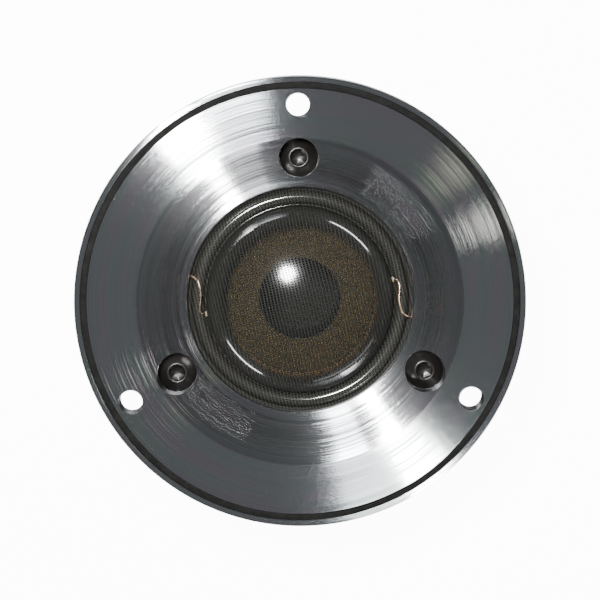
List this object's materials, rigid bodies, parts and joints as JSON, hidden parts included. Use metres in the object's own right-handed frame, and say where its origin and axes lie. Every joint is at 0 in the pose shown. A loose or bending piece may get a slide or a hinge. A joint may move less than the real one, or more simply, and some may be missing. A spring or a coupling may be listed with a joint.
{
  "type": "car tweeter",
  "caption": "Soft-dome car tweeter: turned aluminium flange with a flared mouth, cloth dome on a half-roll surround, vented ring-magnet motor and finned rear chamber.",
  "frame": {"origin": "on the acoustic axis, in the plane where the back of the flange seats on a panel; the centre of the mounting-hole circle", "axes": "+Z forward along the acoustic axis; +Y through the top mounting hole; +X to the right seen from the front"},
  "size_m": [0.066, 0.066, 0.0331],
  "materials": {
    "turned_aluminium": "turned on a lathe and left bright, clear anodised",
    "groove_rubber": "matt black rubber",
    "black_oxide_steel": "black oxide, slightly bronze",
    "black_nylon": "glass-filled nylon, fine mould texture",
    "plain_steel": "ground steel",
    "coated_silk": "woven silk with a dark damping coat",
    "former_film": "polyimide film",
    "enamelled_copper": "enamelled copper wire",
    "tinsel_copper": "bright braided copper",
    "clear_glue": "dried contact glue",
    "solder": "tin solder",
    "brass_blade": "stamped brass",
    "tinned_blade": "tin-plated brass",
    "plated_steel": "black zinc plating",
    "nickel_magnet": "nickel-plated sintered magnet",
    "copper_sheet": "drawn copper sheet",
    "brown_felt": "pressed wool felt",
    "dark_aluminium": "dark anodised, turned",
    "seal_rubber": "nitrile rubber",
    "damping_foam": "pressed polyester wool"
  },
  "bodies": {
    "chassis": {"faceplate": "turned_aluminium", "groove_ring": "groove_rubber", "faceplate_screws": "black_oxide_steel", "diaphragm_frame": "black_nylon", "locating_pins": "plain_steel", "surround": "coated_silk", "lead_wire_left": "tinsel_copper", "lead_wire_right": "tinsel_copper", "solder_joints": "solder", "terminal_positive": "brass_blade", "terminal_negative": "tinned_blade", "terminal_rivets": "brass_blade", "terminal_insulators": "black_nylon", "top_plate": "plated_steel", "magnet_ring": "nickel_magnet", "yoke": "plated_steel", "copper_cap": "copper_sheet", "pole_felt_ring": "brown_felt", "rear_chamber": "dark_aluminium", "chamber_seal": "seal_rubber", "chamber_damping": "damping_foam", "rear_chamber_screws": "black_oxide_steel"},
    "diaphragm": {"dome": "coated_silk", "voice_coil_former": "former_film", "voice_coil_winding": "enamelled_copper", "lead_glue_spots": "clear_glue"}
  },
  "joints": [
    {"name": "dome_travel", "type": "slide", "parent": "chassis", "child": "diaphragm", "axis": [0, 0, 1], "range_m": [-0.0005, 0.0005], "stiffness_N_per_m": 100, "deforming": ["surround", "lead_wire_left", "lead_wire_right"]}
  ]
}
